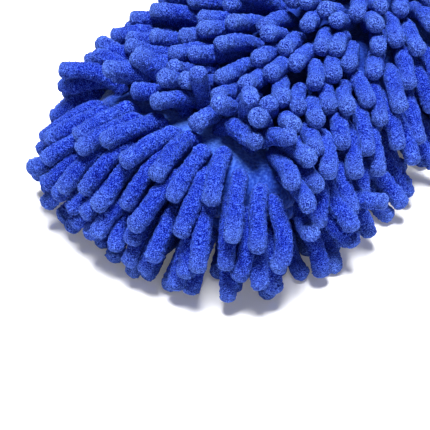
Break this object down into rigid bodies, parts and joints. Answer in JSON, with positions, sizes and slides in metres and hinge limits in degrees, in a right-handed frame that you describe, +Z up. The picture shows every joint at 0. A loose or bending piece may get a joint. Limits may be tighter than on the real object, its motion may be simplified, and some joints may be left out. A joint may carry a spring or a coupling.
{
  "type": "chenille wash mitt",
  "caption": "Plump blue chenille microfibre wash mitt with a foam-padded hand pocket, ribbed elastic wrist cuff and webbing hanging loop.",
  "frame": {"origin": "centre of the bounding box on the surface that the mitt lies on", "axes": "+X from the wrist cuff to the closed fingertip end, +Y across the mitt, +Z up"},
  "size_m": [0.29, 0.162, 0.076],
  "materials": {
    "chenille": "matte",
    "backing_cloth": "matte",
    "foam": "matte",
    "lining": "matte",
    "binding": "matte",
    "thread": "matte",
    "rib_knit": "matte",
    "elastic": "matte",
    "webbing": "matte",
    "label": "satin"
  },
  "bodies": {
    "mitt": {"chenille_row_top_01": "chenille", "chenille_row_top_02": "chenille", "chenille_row_top_03": "chenille", "chenille_row_top_04": "chenille", "chenille_row_top_05": "chenille", "chenille_row_top_06": "chenille", "chenille_row_top_07": "chenille", "chenille_row_top_08": "chenille", "chenille_row_top_09": "chenille", "chenille_row_top_10": "chenille", "chenille_row_top_11": "chenille", "chenille_row_top_12": "chenille", "chenille_row_top_13": "chenille", "chenille_row_top_14": "chenille", "chenille_row_top_15": "chenille", "chenille_row_bottom_01": "chenille", "chenille_row_bottom_02": "chenille", "chenille_row_bottom_03": "chenille", "chenille_row_bottom_04": "chenille", "chenille_row_bottom_05": "chenille", "chenille_row_bottom_06": "chenille", "chenille_row_bottom_07": "chenille", "chenille_row_bottom_08": "chenille", "chenille_row_bottom_09": "chenille", "chenille_row_bottom_10": "chenille", "chenille_row_bottom_11": "chenille", "chenille_row_bottom_12": "chenille", "chenille_row_bottom_13": "chenille", "chenille_row_bottom_14": "chenille", "chenille_row_bottom_15": "chenille", "top_shell": "backing_cloth", "bottom_shell": "backing_cloth", "top_foam_pad": "foam", "bottom_foam_pad": "foam", "top_lining": "lining", "bottom_lining": "lining", "perimeter_seam_tape": "binding", "cuff_join_tape": "binding", "perimeter_seam_thread": "thread", "cuff_join_thread": "thread", "cuff_hem_thread": "thread", "loop_bar_tack": "thread", "cuff_rib": "rib_knit", "cuff_elastic": "elastic"},
    "hang_loop": {"hang_loop": "webbing"},
    "care_label": {"care_label": "label"}
  },
  "joints": [
    {"name": "hang_loop_swing", "type": "hinge", "parent": "mitt", "child": "hang_loop", "pos_m": [-0.128, 0.0466, 0.0303], "axis": [1, 0, 0], "range_deg": [0, 150]},
    {"name": "care_label_flap", "type": "hinge", "parent": "mitt", "child": "care_label", "pos_m": [-0.131, -0.04515, 0.0303], "axis": [1, 0, 0], "range_deg": [-150, 0]}
  ]
}
